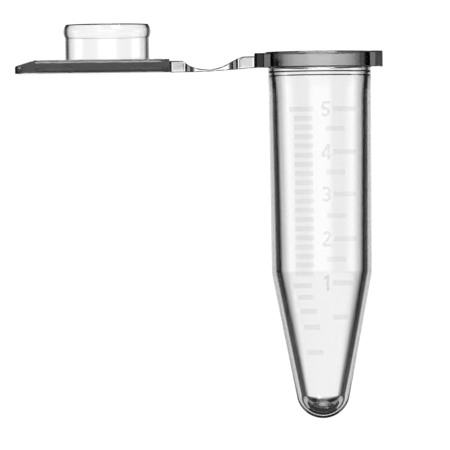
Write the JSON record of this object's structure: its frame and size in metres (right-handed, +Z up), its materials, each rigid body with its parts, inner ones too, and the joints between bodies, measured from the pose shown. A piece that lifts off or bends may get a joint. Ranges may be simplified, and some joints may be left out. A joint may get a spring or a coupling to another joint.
{
  "type": "microcentrifuge tube",
  "caption": "Clear conical snap-cap tube with a round tip, a raised volume scale, a rim flange and a hinged lid with a hollow sealing plug.",
  "frame": {"origin": "on the tube's axis, at the underside of the rim flange, where the tube hangs in a rack", "axes": "+Z up along the tube's axis, the open lid lies towards -X, the volume scale faces -Y"},
  "size_m": [0.0601, 0.0182, 0.0649],
  "materials": {
    "clear_wall": "clear polished polypropylene",
    "satin_edges": "clear polypropylene, thick section that looks grey from the side",
    "raised_marks": "frosted raised marks"
  },
  "bodies": {
    "tube": {"rim_flange": "satin_edges", "thumb_ledge": "satin_edges", "rim_hinge_lug": "satin_edges", "neck_collar": "clear_wall", "barrel": "clear_wall", "cone": "clear_wall", "round_tip": "clear_wall", "fine_scale_bars": "raised_marks", "half_millilitre_bars": "raised_marks", "millilitre_bars": "raised_marks", "scale_numerals": "raised_marks", "strap_block_tube": "clear_wall", "hinge_web": "clear_wall"},
    "lid": {"strap_block_lid": "clear_wall", "lid_hinge_lug": "satin_edges", "lid_plate": "satin_edges", "lid_seat": "clear_wall", "lift_tab": "satin_edges", "plug_skirt": "clear_wall", "plug_bead": "clear_wall"}
  },
  "joints": [
    {"name": "lid_swing", "type": "hinge", "parent": "tube", "child": "lid", "pos_m": [-0.0174, 0, 0.0021], "axis": [0, 1, 0], "range_deg": [-30, 180], "stiffness_Nm_per_rad": 0.004, "springref_deg": 4.01, "deforming": ["hinge_web"]}
  ]
}
